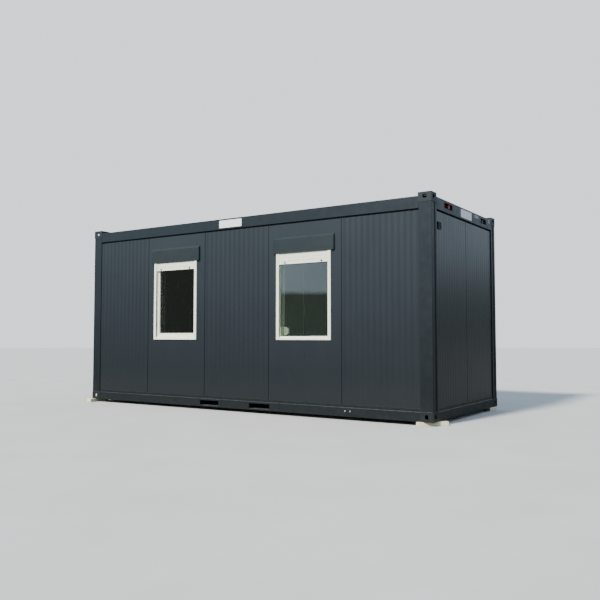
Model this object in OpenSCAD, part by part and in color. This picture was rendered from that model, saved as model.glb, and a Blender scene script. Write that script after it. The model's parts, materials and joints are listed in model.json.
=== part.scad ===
// Portable site cabin: a steel frame with corner castings, ribbed sandwich
// panels, two windows with roller shutters and four timber packers under it.
// Millimetres, +Z up, the long front wall faces -Y, and the origin lies on
// the ground below the middle of the cabin.

/* [Cabin] */
// Length over the corner castings
cabin_l = 6055; // [5040:5:7300]
// Width over the corner castings
cabin_w = 2435; // [2030:5:3000]
// Height from the undersides to the tops of the corner castings
cabin_h = 2800; // [2750:5:3400]
// Wall panels along each long wall
long_bays = 5; // [5:1:5]
// Wall panels along each end wall
end_bays = 2; // [2:1:2]

/* [Frame] */
// Length of a corner casting along the cabin
casting_l = 178; // [165:1:200]
// Width of a corner casting across the cabin
casting_w = 162; // [150:1:190]
// Height of a corner casting
casting_h = 118; // [110:1:140]
// Wall between a casting's cavity and its outer faces
casting_wall = 16; // [10:1:22]
// Top plate of a casting
casting_top = 28; // [20:1:32]
// How far the castings stand proud of rails, posts and beams
proud = 3; // [1:0.5:6]
// Width of a corner post on each of its two faces
post_w = 170; // [150:1:200]
// Height of the base rails
rail_h = 118; // [110:1:140]
// Depth of the base rails and roof beams across their length
rail_d = 100; // [97:1:130]
// Radius of the rounded top edge of a base rail
rail_r = 6; // [3:1:7]
// Top of the sill lip that carries the wall panels
sill_top = 157; // [145:1:185]
// Height of the roof beams
beam_h = 154; // [130:1:185]
// Drop from the casting tops to the roof beam tops
beam_drop = 43; // [30:1:52]
// Height of the shadow slot between the roof beams and the wall panels
slot_h = 20; // [8:1:30]
// Depth of the shadow slot behind the face of the roof beams
slot_d = 40; // [25:1:60]

/* [Fork pockets] */
// Distance between the centres of the two fork pockets
pocket_spacing = 915; // [800:5:1100]
// Offset of the pair of pockets from the middle of the cabin
pocket_shift = -24; // [-60:1:60]
// Clear width of a fork pocket
pocket_w = 352; // [290:2:420]
// Clear height of a fork pocket
pocket_h = 72; // [62:1:80]
// Height of a fork pocket above the underside of the rail
pocket_z = 20; // [15:1:25]
// Wall of a fork pocket tube
pocket_wall = 4; // [3:0.5:6]

/* [Walls] */
// Thickness of the sandwich panels
panel_t = 80; // [60:1:84]
// Setback of the panel faces from the outside of the frame
recess = 15; // [13:0.5:16]
// Spacing of the upright grooves pressed into the panels
groove_pitch = 86; // [70:1:104]
// Width of a groove at the face of the panel
groove_w = 44; // [30:1:54]
// Depth of the grooves
groove_d = 1; // [0.6:0.2:4]
// Flat band beside each panel joint
joint_band = 52; // [40:1:62]
// Open joint between neighbouring panels
joint_gap = 0.6; // [0.3:0.1:0.9]
// Rebate along each upright edge of a panel: width
rebate_w = 4; // [2:0.5:6]
// Rebate along each upright edge of a panel: depth
rebate_d = 9; // [4:0.5:15]

/* [Floor and roof] */
// Thickness of the floor deck
deck_t = 24; // [18:1:30]
// Sheet under the floor
under_t = 2; // [1:0.5:3]
// Height of the cross members under the deck
joist_h = 100; // [90:1:110]
// Thickness of the ceiling panel
ceiling_t = 12; // [8:1:20]
// Thickness of the roof sheet
roof_t = 4; // [2:0.5:6]
// Height of the standing seams on the roof
seam_h = 22; // [12:1:26]
// Number of strips of roof sheet
roof_strips = 10; // [8:1:12]

/* [Windows] */
// Width over the shutter guide rails
window_w = 876; // [725:1:900]
// Height from the underside of the window frame to the shutter box
window_h = 1195; // [990:1:1235]
// Height of the window frame above the sill lip
window_sill = 828; // [690:1:840]
// Offset of both windows from the middle of their panels
window_shift = -8; // [-20:1:20]
// Width of a guide rail
guide_w = 44; // [36:1:64]
// How far a guide rail stands proud of the wall panel
guide_proud = 18; // [12:1:22]
// Depth of the window frame through the wall
frame_d = 80; // [79:1:90]
// Width of the frame member at the sides
frame_side = 49; // [40:1:60]
// Width of the frame member at the bottom
frame_foot = 50; // [44:1:70]
// Height of the top and bottom members of the opening sash
sash_w = 48; // [40:1:70]
// Thickness of the glazing
glass_t = 24; // [20:1:28]
// Width of the shutter box cover
hood_w = 980; // [940:1:990]
// Height of the upright face of the shutter box cover
hood_h = 195; // [160:1:235]
// Height of the cover's sloped top
hood_slope = 30; // [10:1:45]
// How far the shutter box cover stands out from the wall panel
hood_out = 27; // [22:1:32]
// How far the shutter of the left window is let down
shutter_left = 125; // [80:1:600]
// How far the shutter of the right window is let down
shutter_right = 154; // [80:1:600]
// Height of a shutter slat
slat_h = 39; // [30:1:50]
// Height of the bar that ends the shutter
bar_h = 46; // [40:1:55]

/* [Door] */
// Width over the door frame
door_w = 935; // [860:1:960]
// Height over the door frame
door_h = 2085; // [1950:5:2200]
// Thickness of the door leaf
leaf_t = 42; // [36:1:48]

/* [Packers] */
// Height of the timber packers
packer_h = 50; // [40:1:60]
// Length of the timber packers
packer_l = 390; // [330:5:450]
// Width of the timber packers
packer_w = 90; // [75:1:110]

/* [Hidden] */
$fn = 48;

anthracite = "#3b444b";
shade_anthracite = "#343c42";
window_white = "#eceade";
eps = 0.01;
sheet_fit = 0.3;
through = 400;

// Levels, counted from the underside of the castings
half_l = cabin_l / 2;
half_w = cabin_w / 2;
beam_top = cabin_h - beam_drop;
beam_foot = beam_top - beam_h;
panel_in = recess + panel_t;
room_l = cabin_l - 2 * panel_in;
room_w = cabin_w - 2 * panel_in;
lip_set = 11;
lip_inner = rail_d;
deck_rise = 3;
deck_top = sill_top + deck_rise;
joist_top = deck_top - deck_t;
pocket_top = pocket_z + pocket_h;
pocket_outer = pocket_w / 2 + pocket_wall;
ceiling_drop = 102;
ceiling_foot = beam_top - ceiling_drop;

// Wall panels
long_pitch = room_l / long_bays;
end_pitch = room_w / end_bays;
window_bays = [1, 3];
head_seat = 0.3;
wall_top = beam_foot - slot_h;

// Window places, with x = 0 in the middle of the window
window_foot = sill_top + window_sill;
window_top = window_foot + window_h;
guide_face = recess - guide_proud;
frame_set = 2;
frame_front = recess + frame_set;
frame_back = frame_front + frame_d;
glass_set = [38, 10];
opening_lap = 9;
opening_w = window_w - 2 * opening_lap;
hood_lap = 20;
frame_fit = 0.3;
light_w = window_w - 2 * frame_side;
light_foot = window_foot + frame_foot;
light_head = 60;
curtain_set = 8;
curtain_face = guide_face + curtain_set;
curtain_t = 8;
curtain_fit = 1;
guide_in = 16;

// Places of the holes in a casting, from its outer corner
slot_w = 63.5;
slot_l = 124.5;
slot_x = 101;
slot_y = 88;
side_hole_w = 62;
side_hole_h = 48;
side_hole_x = 89;
end_hole_y = 75;
top_hole_drop = 52;
low_hole_w = 44;
low_hole_h = 58;
low_hole_z = 60;

// Power connections in the right-hand roof beam
inlet_in = 563.5;
inlet_y = -half_w + inlet_in;
inlet_w = 278;
outlet_in = 507.5;
outlet_y = half_w - outlet_in;
outlet_w = 226;
niche_h = 70;
niche_rise = 52;
niche_z = beam_foot + niche_rise;
niche_d = 62;
niche_wall = 3;

// ---------------------------------------------------------------- placing

// Children stand above the packers
module lifted() {
    translate([0, 0, packer_h]) children();
}

// One copy at each corner, x and y counted inwards from the corner
module at_corners(z = 0) {
    for (flip_x = [0, 1], flip_y = [0, 1])
        at_corner(flip_x, flip_y) translate([0, 0, z]) children();
}

// x and y of the children count inwards from one corner of the cabin
module at_corner(flip_x, flip_y) {
    mirror([1 - flip_x, 0, 0])
        mirror([0, flip_y, 0])
            translate([-half_l, -half_w, 0]) children();
}

// Children drawn along the front wall, turned to stand on another wall.
// y counts inwards from the outside of the frame.
module on_front() {
    translate([0, -half_w, 0]) children();
}

module on_back() {
    rotate([0, 0, 180]) on_front() children();
}

module on_right() {
    rotate([0, 0, 90]) translate([0, -half_l, 0]) children();
}

module on_left() {
    rotate([0, 0, -90]) translate([0, -half_l, 0]) children();
}

// A box from one corner to the other
module span(low, high) {
    translate(low) cube(high - low);
}

// A rounded slot along x, cut in the xy plane
module stadium(length, width, height) {
    reach = (length - width) / 2;
    union() {
        translate([-reach, -width / 2, 0]) cube([2 * reach, width, height]);
        for (side = [-1, 1])
            translate([side * reach, 0, 0]) cylinder(d = width, h = height);
    }
}

// ------------------------------------------------------------- base frame

// A base rail centred on x, its outer face at y = proud
module base_rail(length, lip_length) {
    union() {
        span([-length / 2, proud, 0], [length / 2, rail_d, rail_h - rail_r]);
        span([-length / 2, proud + rail_r, rail_h - rail_r - eps],
             [length / 2, rail_d, rail_h]);
        translate([-length / 2, proud + rail_r, rail_h - rail_r])
            rotate([0, 90, 0]) cylinder(r = rail_r, h = length);
        span([-lip_length / 2, lip_set, rail_h],
             [lip_length / 2, lip_inner, sill_top]);
    }
}

// Middle of a fork pocket
function pocket_x(side) = pocket_shift + side * pocket_spacing / 2;

// A long rail with the two fork pockets cut through it
module long_base_rail(facing) {
    difference() {
        base_rail(cabin_l - 2 * casting_l, cabin_l - 2 * post_w);
        for (side = [-1, 1])
            span([facing * pocket_x(side) - pocket_outer, -through, pocket_z - pocket_wall],
                 [facing * pocket_x(side) + pocket_outer, through, pocket_top + pocket_wall]);
    }
}

module end_base_rail() {
    base_rail(cabin_w - 2 * casting_w, cabin_w - 2 * post_w);
}

module base_rail_front() {
    color(anthracite) lifted() on_front() long_base_rail(1);
}

module base_rail_back() {
    color(anthracite) lifted() on_back() long_base_rail(-1);
}

module base_rail_left() {
    color(anthracite) lifted() on_left() end_base_rail();
}

module base_rail_right() {
    color(anthracite) lifted() on_right() end_base_rail();
}

// A square tube from the front face to the back face of the base frame
module fork_pocket(side) {
    middle = pocket_x(side);
    difference() {
        span([middle - pocket_outer, -half_w + proud, pocket_z - pocket_wall],
             [middle + pocket_outer, half_w - proud, pocket_top + pocket_wall]);
        span([middle - pocket_w / 2, -half_w, pocket_z],
             [middle + pocket_w / 2, half_w, pocket_top]);
    }
}

module fork_pocket_left() {
    color(shade_anthracite) lifted() fork_pocket(-1);
}

module fork_pocket_right() {
    color(shade_anthracite) lifted() fork_pocket(1);
}

// Cross members between the long rails, clear of the fork pockets
joist_w = 50;
joist_count = 4;
joist_clear = 90;
joist_end = 120;
joist_start = pocket_spacing / 2 + pocket_outer + joist_clear;
joist_reach = half_l - rail_d - joist_end;
joist_step = (joist_reach - joist_start) / (joist_count - 1);

module cross_members() {
    color("#4a4f52") lifted() {
        for (side = [-1, 1], i = [0 : joist_count - 1])
            span([side * (joist_start + i * joist_step) - joist_w / 2,
                  -half_w + rail_d, joist_top - joist_h],
                 [side * (joist_start + i * joist_step) + joist_w / 2,
                  half_w - rail_d, joist_top]);
        span([-joist_w / 2, -half_w + rail_d, joist_top - joist_h],
             [joist_w / 2, half_w - rail_d, joist_top]);
    }
}

// A thin sheet under the joists, open where the fork pockets pass
module underfloor_sheet() {
    color("#8f979b") lifted() {
        sheet_top = joist_top - joist_h;
        difference() {
            span([-half_l + rail_d, -half_w + rail_d, sheet_top - under_t],
                 [half_l - rail_d, half_w - rail_d, sheet_top]);
            for (side = [-1, 1])
                span([pocket_x(side) - pocket_outer, -half_w, sheet_top - under_t - 1],
                     [pocket_x(side) + pocket_outer, half_w, sheet_top + 1]);
            corner_notches(sheet_top - under_t - 1);
        }
    }
}

// Room for the castings at the corners of a sheet
module corner_notches(z) {
    at_corners(z)
        cube([casting_l + sheet_fit, casting_w + sheet_fit, casting_h]);
}

module floor_deck() {
    color("#6f7072") lifted()
        span([-half_l + rail_d, -half_w + rail_d, joist_top],
             [half_l - rail_d, half_w - rail_d, deck_top]);
}

// --------------------------------------------------------------- castings

// The outer block and its cavity, x and y counted inwards from the corner
module casting_shell(cavity_foot, cavity_top) {
    difference() {
        cube([casting_l, casting_w, casting_h]);
        span([casting_wall, casting_wall, cavity_foot],
             [casting_l - casting_wall / 2, casting_w - casting_wall, cavity_top]);
    }
}

module casting_top_corner() {
    difference() {
        casting_shell(casting_wall, casting_h - casting_top);
        translate([slot_x, slot_y, casting_h / 2]) stadium(slot_l, slot_w, casting_h);
        translate([side_hole_x, casting_wall + eps, casting_h - top_hole_drop])
            rotate([90, 0, 0]) stadium(side_hole_w, side_hole_h, casting_wall + 1);
        translate([casting_wall + eps, end_hole_y, casting_h - top_hole_drop])
            rotate([90, 0, -90]) stadium(side_hole_w, side_hole_h, casting_wall + 1);
    }
}

module casting_bottom_corner() {
    difference() {
        casting_shell(casting_top, casting_h - casting_wall);
        translate([slot_x, slot_y, -1]) stadium(slot_l, slot_w, casting_h / 2);
        translate([side_hole_x, casting_wall + eps, low_hole_z])
            rotate([90, 90, 0]) stadium(low_hole_h, low_hole_w, casting_wall + 1);
        translate([casting_wall + eps, end_hole_y, low_hole_z])
            rotate([90, 90, -90]) stadium(low_hole_h, low_hole_w, casting_wall + 1);
    }
}

module castings_bottom() {
    color(anthracite) lifted() at_corners() casting_bottom_corner();
}

module castings_top() {
    color(anthracite) lifted() at_corners(cabin_h - casting_h) casting_top_corner();
}

// ------------------------------------------------------------------ posts

// Plan of a folded corner post: a corner tube, a flange that covers the ends
// of the long wall, and a flange with a drain groove on the end wall
drain_start = 66;
drain_w = 58;
drain_d = 8;

module post() {
    linear_extrude(cabin_h - 2 * casting_h)
        polygon([
            [proud, proud], [post_w, proud], [post_w, recess - head_seat],
            [panel_in - head_seat, recess - head_seat],
            [panel_in - head_seat, panel_in - head_seat],
            [recess - head_seat, panel_in - head_seat],
            [recess - head_seat, post_w], [proud, post_w],
            [proud, drain_start + drain_w],
            [proud + drain_d, drain_start + drain_w],
            [proud + drain_d, drain_start], [proud, drain_start]
        ]);
}

module corner_post(flip_x, flip_y) {
    color(anthracite) lifted() at_corner(flip_x, flip_y)
        translate([0, 0, casting_h]) post();
}

module post_front_left() {
    corner_post(1, 0);
}

module post_front_right() {
    corner_post(0, 0);
}

module post_back_left() {
    corner_post(1, 1);
}

module post_back_right() {
    corner_post(0, 1);
}

// ------------------------------------------------------------------- roof

// A roof beam centred on x, its outer face at y = proud, its ends cut to
// stand between the castings and over the posts
module roof_beam(length, casting_span, post_clear) {
    difference() {
        union() {
            span([-length / 2, proud, beam_foot], [length / 2, rail_d, beam_top]);
            span([-length / 2, slot_d, wall_top + head_seat],
                 [length / 2, rail_d, beam_foot + eps]);
        }
        for (side = [-1, 1])
            translate([side * (length / 2), 0, 0])
                span([-casting_span, -eps, cabin_h - casting_h],
                     [casting_span, through, cabin_h]);
        for (side = [-1, 1])
            translate([side * (length / 2), 0, 0])
                span([-post_clear, -eps, 0], [post_clear, through, cabin_h - casting_h]);
    }
}

module long_roof_beam() {
    roof_beam(cabin_l, casting_l, post_w);
}

module end_roof_beam() {
    roof_beam(cabin_w, casting_w, post_w);
}

module roof_beam_front() {
    color(anthracite) lifted() on_front() long_roof_beam();
}

module roof_beam_back() {
    color(anthracite) lifted() on_back() long_roof_beam();
}

module roof_beam_left() {
    color(anthracite) lifted() on_left() end_roof_beam();
}

// Open niches for the power inlet and outlet
module roof_beam_right() {
    color(anthracite) lifted() difference() {
        on_right() end_roof_beam();
        on_right() niche_cut(inlet_y, inlet_w);
        on_right() niche_cut(outlet_y, outlet_w);
    }
}

module niche_cut(middle, width) {
    span([middle - width / 2, -1, niche_z], [middle + width / 2, proud + niche_d, niche_z + niche_h]);
}

// Flat strips joined by standing seams, between the roof beams
roof_drop = 6;
roof_top = beam_top - roof_drop;
seam_w = 10;

module roof_sheet() {
    color("#5c6367") lifted() {
        strip = (cabin_l - 2 * rail_d) / roof_strips;
        difference() {
            union() {
                span([-half_l + rail_d, -half_w + rail_d, roof_top - seam_h - roof_t],
                     [half_l - rail_d, half_w - rail_d, roof_top - seam_h]);
                for (i = [1 : roof_strips - 1])
                    span([-half_l + rail_d + i * strip - seam_w / 2, -half_w + rail_d,
                          roof_top - seam_h - eps],
                         [-half_l + rail_d + i * strip + seam_w / 2, half_w - rail_d,
                          roof_top]);
            }
            corner_notches(cabin_h - casting_h);
        }
    }
}

module ceiling() {
    color("#e4e4e0") lifted()
        span([-half_l + rail_d, -half_w + rail_d, ceiling_foot],
             [half_l - rail_d, half_w - rail_d, ceiling_foot + ceiling_t]);
}

// ------------------------------------------------------------------ walls

// One upright groove: a low trapezium cut into the panel face
groove_flare = 4;

module groove(height) {
    slope = groove_d * groove_flare;
    linear_extrude(height)
        polygon([[-groove_w / 2, -eps], [-groove_w / 2 + slope, groove_d],
                 [groove_w / 2 - slope, groove_d], [groove_w / 2, -eps]]);
}

// A wall panel from x = 0 to its width, outer face at y = recess, with a
// flat band at the far end of its grooves
module panel(width, grooved) {
    clear = joint_gap / 2;
    grooves = grooved ? floor((width - joint_band) / groove_pitch) : 0;
    middle = (width - joint_band) / 2;
    difference() {
        span([clear, recess, sill_top], [width - clear, panel_in, wall_top]);
        for (i = [1 : grooves])
            translate([middle + (i - (grooves + 1) / 2) * groove_pitch, recess, sill_top - 1])
                groove(wall_top - sill_top + 2);
        for (edge = [0, width])
            span([edge - clear - rebate_w, recess - 1, sill_top - 1],
                 [edge + clear + rebate_w, recess + rebate_d, wall_top + 1]);
    }
}

// Where a long wall's panel starts
function bay_x(bay) = -room_l / 2 + bay * long_pitch;

module front_panel(bay) {
    color(anthracite) lifted() on_front() translate([bay_x(bay), 0, 0])
        panel(long_pitch, true);
}

module window_panel(bay) {
    color(anthracite) lifted() on_front() difference() {
        translate([bay_x(bay), 0, 0]) panel(long_pitch, false);
        translate([bay_x(bay) + long_pitch / 2 + window_shift, 0, 0])
            span([-opening_w / 2, -through, window_foot + opening_lap],
                 [opening_w / 2, through, window_top + hood_h - hood_lap]);
    }
}

module wall_panel_front_1() {
    front_panel(0);
}

module wall_panel_front_2() {
    window_panel(1);
}

module wall_panel_front_3() {
    front_panel(2);
}

module wall_panel_front_4() {
    window_panel(3);
}

module wall_panel_front_5() {
    front_panel(4);
}

module wall_panels_back() {
    color(anthracite) lifted() on_back()
        for (bay = [0 : long_bays - 1])
            translate([bay_x(bay), 0, 0]) panel(long_pitch, true);
}

module end_panels() {
    for (bay = [0 : end_bays - 1])
        translate([-room_w / 2 + bay * end_pitch, 0, 0]) panel(end_pitch, true);
}

module wall_panels_right() {
    color(anthracite) lifted() on_right() end_panels();
}

door_x = end_pitch / 2;
door_foot = deck_top;
door_lap = 20;
door_cut_w = door_w - 2 * door_lap;
door_cut_h = door_h - door_lap;

module wall_panels_left() {
    color(anthracite) lifted() on_left() difference() {
        end_panels();
        translate([door_x, 0, 0])
            span([-door_cut_w / 2, -through, -eps], [door_cut_w / 2, through, door_foot + door_cut_h]);
    }
}

// ---------------------------------------------------------------- windows

// Children at the middle of a window, on the front wall
module at_window(which) {
    lifted() on_front()
        translate([bay_x(window_bays[which]) + long_pitch / 2 + window_shift, 0, 0])
            children();
}

// The white frame that fills the opening, with the shutter's pocket above
module window_frame() {
    outer = opening_w / 2 - frame_fit;
    difference() {
        span([-outer, frame_front, window_foot + opening_lap + frame_fit],
             [outer, frame_back, window_top - frame_fit]);
        span([-light_w / 2, 0, light_foot], [light_w / 2, through, window_top - light_head]);
    }
}

module window_frame_left() {
    color(window_white) at_window(0) window_frame();
}

module window_frame_right() {
    color(window_white) at_window(1) window_frame();
}

// The tilting sash inside the left window's frame
sash_fit = 0.3;
sash_foot = light_foot + sash_fit;
sash_head = window_top - light_head - sash_fit;
sash_half = light_w / 2 - sash_fit;
sash_set = 20;
sash_back_set = 4;
sash_front = frame_front + sash_set;
sash_back = frame_back - sash_back_set;
sash_trim = 16;

module window_sash() {
    color(window_white) at_window(0) difference() {
        span([-sash_half, sash_front, sash_foot], [sash_half, sash_back, sash_head]);
        span([-sash_half + sash_w - sash_trim, 0, sash_foot + sash_w],
             [sash_half - sash_w + sash_trim, through, sash_head - sash_w]);
    }
}

glass_fit = 0.3;

module pane(which, half, foot, head) {
    outer = frame_front + glass_set[which];
    at_window(which)
        span([-half + glass_fit, outer, foot + glass_fit],
             [half - glass_fit, outer + glass_t, head - glass_fit]);
}

module glass_left() {
    color("#2b3337")
        pane(0, sash_half - sash_w + sash_trim, sash_foot + sash_w, sash_head - sash_w);
}

module glass_right() {
    color("#2b3337")
        pane(1, light_w / 2, light_foot, window_top - light_head);
}

// A pair of guide rails with a slot for the shutter, and a sill bar. They
// lap over the edge of the opening and reach back to the window frame.
sill_bar_h = 24;
sill_bar_set = 4;
track_foot = 40;

module shutter_guides() {
    outer = window_w / 2;
    body = opening_w / 2 - frame_fit;
    inner = outer - guide_w;
    top = window_top - frame_fit;
    foot = window_foot + opening_lap + frame_fit;
    union() {
        for (side = [0, 1]) mirror([side, 0, 0]) difference() {
            union() {
                span([inner, guide_face, window_foot], [outer, recess - frame_fit, top]);
                span([inner, recess - 1, foot], [body, frame_front - frame_fit, top]);
            }
            span([inner - 1, curtain_face - curtain_fit, window_foot + track_foot],
                 [inner + guide_in, curtain_face + curtain_t + curtain_fit, top + 1]);
        }
        span([-inner - eps, guide_face + sill_bar_set, window_foot],
             [inner + eps, recess - frame_fit, window_foot + sill_bar_h]);
        span([-inner - eps, recess - 1, foot],
             [inner + eps, frame_front - frame_fit, window_foot + sill_bar_h]);
    }
}

module shutter_guides_left() {
    color(window_white) at_window(0) shutter_guides();
}

module shutter_guides_right() {
    color(window_white) at_window(1) shutter_guides();
}

// The let-down part of the shutter: slats with a groove between them and a
// deeper bar at the bottom
slat_gap = 3;
slat_set = 1.5;

module shutter_curtain(drop) {
    half = window_w / 2 - guide_w + guide_in - curtain_fit;
    slats = ceil((drop - bar_h) / slat_h);
    intersection() {
        union() {
            span([-half, curtain_face, window_top - drop],
                 [half, curtain_face + curtain_t, window_top - drop + bar_h]);
            for (i = [0 : slats])
                span([-half, curtain_face + slat_set,
                      window_top - drop + bar_h + i * slat_h + slat_gap],
                     [half, curtain_face + curtain_t, window_top - drop + bar_h + (i + 1) * slat_h]);
            span([-half, curtain_face + 2 * slat_set, window_top - drop + bar_h - eps],
                 [half, curtain_face + curtain_t - 1, window_top]);
        }
        span([-window_w, -through, window_foot], [window_w, through, window_top - frame_fit]);
    }
}

module shutter_curtain_left() {
    color(window_white) at_window(0) shutter_curtain(shutter_left);
}

module shutter_curtain_right() {
    color(window_white) at_window(1) shutter_curtain(shutter_right);
}

// The dark shutter box: a cover outside, its top sloped to shed rain, and a
// body through the wall
module shutter_box() {
    body = opening_w / 2 - frame_fit;
    union() {
        translate([-hood_w / 2, 0, window_top])
            rotate([90, 0, 90]) linear_extrude(hood_w)
                polygon([[recess - hood_out, 0], [recess - frame_fit, 0],
                         [recess - frame_fit, hood_h + hood_slope],
                         [recess - hood_out, hood_h]]);
        span([-body, recess - 1, window_top],
             [body, frame_back, window_top + hood_h - hood_lap - frame_fit]);
    }
}

module shutter_box_left() {
    color(shade_anthracite) at_window(0) shutter_box();
}

module shutter_box_right() {
    color(shade_anthracite) at_window(1) shutter_box();
}

// A belt winder on a plate behind the frame, with the belt up to the box
winder_w = 100;
winder_h = 116;
winder_d = 38;
winder_rise = 63;
winder_foot = window_foot + winder_rise;
winder_in = [12.5, 34];
winder_x = [-opening_w / 2 + winder_in[0], -light_w / 2 + winder_in[1]];
winder_plate_t = 6;
winder_plate_trim = 20;
winder_plate_edge = 4;
belt_w = 15;
belt_t = 1.5;
belt_set = 4;
belt_off = [6, -24];
belt_guide_h = 14;
belt_guide_d = 12;

module belt_winder(which) {
    x = winder_x[which];
    belt_x = x + belt_off[which];
    edge = -opening_w / 2 + winder_plate_edge;
    union() {
        translate([x, frame_back, winder_foot + winder_h / 2])
            rotate([-90, 0, 0]) union() {
                cylinder(d = winder_h, h = winder_d);
                translate([-winder_w / 2, -winder_h / 2, 0])
                    cube([winder_w / 2, winder_h, winder_d]);
            }
        span([edge, frame_back, winder_foot + winder_plate_trim],
             [x, frame_back + winder_plate_t, winder_foot + winder_h - winder_plate_trim]);
        span([belt_x - belt_w / 2, frame_back + belt_set,
              winder_foot + winder_h - winder_plate_trim],
             [belt_x + belt_w / 2, frame_back + belt_set + belt_t, window_top]);
        span([belt_x - belt_w / 2 - belt_set, frame_back, window_top - belt_guide_h],
             [belt_x + belt_w / 2 + belt_set, frame_back + belt_guide_d, window_top]);
    }
}

module belt_winder_left() {
    color(window_white) at_window(0) belt_winder(0);
}

module belt_winder_right() {
    color(window_white) at_window(1) belt_winder(1);
}

// ----------------------------------------------- fittings on the end wall

vent_in = 272.5;
vent_y = -half_w + vent_in;
vent_drop = 173;
vent_z = wall_top - vent_drop;
vent_w = 100;
vent_h = 90;
vent_out = 14;
vent_slot = 5;
vent_slot_h = 14;
vent_slot_step = 24;
vent_border = 10;

// A small louvred cap over the air outlet
module vent_cap() {
    color("#22272a") lifted() on_right() difference() {
        span([vent_y - vent_w / 2, recess - vent_out, vent_z - vent_h / 2],
             [vent_y + vent_w / 2, recess - head_seat, vent_z + vent_h / 2]);
        for (i = [-1 : 1])
            span([vent_y - vent_w / 2 + vent_border, recess - vent_out - eps,
                  vent_z + i * vent_slot_step - vent_slot_h / 2],
                 [vent_y + vent_w / 2 - vent_border, recess - vent_out + vent_slot,
                  vent_z + i * vent_slot_step + vent_slot_h / 2]);
    }
}

// A tray that lines a niche in the roof beam
module niche_tray(middle, width) {
    fit = head_seat;
    difference() {
        span([middle - width / 2 + fit, proud, niche_z + fit],
             [middle + width / 2 - fit, proud + niche_d - fit, niche_z + niche_h - fit]);
        span([middle - width / 2 + niche_wall, -1, niche_z + niche_wall],
             [middle + width / 2 - niche_wall, proud + niche_d - niche_wall,
              niche_z + niche_h - niche_wall]);
    }
}

connector_d = 50;
connector_set = 12;
connector_shift = 40;
flange_w = 64;
flange_h = 56;
flange_t = 14;

// A connector body with a square flange, at the back of its niche
module connector(middle) {
    reach = niche_d - niche_wall - connector_set;
    translate([middle, proud + niche_d - niche_wall + eps, niche_z + niche_h / 2])
        rotate([90, 0, 0]) union() {
            cylinder(d = connector_d, h = reach);
            translate([-flange_w / 2, -flange_h / 2, 0])
                cube([flange_w, flange_h, flange_t]);
        }
}

module power_inlet() {
    color("#8c2f2a") lifted() on_right() union() {
        niche_tray(inlet_y, inlet_w);
        connector(inlet_y + connector_shift);
    }
}

module power_outlet() {
    color("#2c3033") lifted() on_right() union() {
        niche_tray(outlet_y, outlet_w);
        connector(outlet_y);
    }
}

plate_t = 2;
plate_rise = 22;
plate_foot = beam_foot + plate_rise;
plate_h = 110;
front_plate = [-305, 110];
end_plate = [-209, 212];

module plate_front() {
    color("#e9ecec") lifted() on_front()
        span([front_plate[0], proud - plate_t, plate_foot],
             [front_plate[1], proud, plate_foot + plate_h]);
}

module plate_end() {
    color("#e9ecec") lifted() on_right()
        span([end_plate[0], proud - plate_t, plate_foot],
             [end_plate[1], proud, plate_foot + plate_h]);
}

// ------------------------------------------------------------------- door

door_frame_w = 48;
leaf_fit = 3;
leaf_set = recess + 18;
leaf_seat = 0.3;
door_face = recess - 10;
threshold = 20;

// Children at the middle of the door's foot, y counted inwards
module at_door() {
    lifted() on_left() translate([door_x, 0, door_foot]) children();
}

// A frame lapped over the wall panel, with three hinge knuckles in the
// corner between its reveal and the face of the leaf
hinge_d = 16;
hinge_l = 90;
hinge_z = [220, 1040, 1800];

module door_frame() {
    reveal = door_w / 2 - door_frame_w;
    color(window_white) at_door() union() {
        difference() {
            union() {
                span([-door_w / 2, door_face, 0], [door_w / 2, recess - head_seat, door_h]);
                span([-door_cut_w / 2 + frame_fit, door_face, 0],
                     [door_cut_w / 2 - frame_fit, panel_in + 2, door_cut_h - frame_fit]);
            }
            span([-reveal, -through, threshold], [reveal, through, door_h - door_frame_w]);
        }
        for (z = hinge_z)
            translate([reveal - hinge_d / 2 + 1, leaf_set - hinge_d / 2 - leaf_seat, z])
                cylinder(d = hinge_d, h = hinge_l);
    }
}

module door_leaf() {
    color(window_white) at_door()
        span([-door_w / 2 + door_frame_w + leaf_fit, leaf_set, threshold + leaf_fit],
             [door_w / 2 - door_frame_w - leaf_fit, leaf_set + leaf_t,
              door_h - door_frame_w - leaf_fit]);
}

// A lever on a square rose, its rose against y = 0 and its lever towards -y
rose_w = 32;
rose_t = 8;
spindle_d = 18;
lever_l = 120;
lever_t = 10;
lever_gap = 36;
lever_reach = lever_gap + 8;

module door_lever() {
    rotate([90, 0, 0]) union() {
        translate([-rose_w / 2, -rose_w / 2, 0]) cube([rose_w, rose_w, rose_t]);
        cylinder(d = spindle_d, h = lever_reach);
        translate([-spindle_d / 2, -spindle_d / 2, lever_gap])
            cube([lever_l, spindle_d, lever_t]);
    }
}

handle_in = 60;
handle_x = -door_w / 2 + door_frame_w + handle_in;
handle_z = 1050;

module door_handles() {
    color("#b9bcbd") at_door() {
        translate([handle_x, leaf_set, handle_z]) door_lever();
        translate([handle_x, leaf_set + leaf_t, handle_z]) mirror([0, 1, 0]) door_lever();
    }
}

// ---------------------------------------------------------------- packers

// Three packers lie across their corners, the back right one a little
// further in. The front left one lies along the cabin's width and sticks out.
usual_inset = 95;
usual_shift = 43;
deep_inset = 131;
deep_shift = 17;
end_out = 12;
front_out = 100;

module timber_packers() {
    color("#c9b48a") {
        corner_packer(0, 0, usual_inset, usual_shift);
        corner_packer(1, 1, usual_inset, usual_shift);
        corner_packer(0, 1, deep_inset, deep_shift);
        translate([-half_l - end_out, -half_w - front_out, 0])
            cube([packer_w, packer_l, packer_h]);
    }
}

// A packer at 45 degrees: inset is from the corner to its outer side, and
// shift moves it along its own length
module corner_packer(flip_x, flip_y, inset, shift) {
    at_corner(flip_x, flip_y)
        rotate([0, 0, 45]) translate([inset, shift - packer_l / 2, 0])
            cube([packer_w, packer_l, packer_h]);
}

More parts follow.
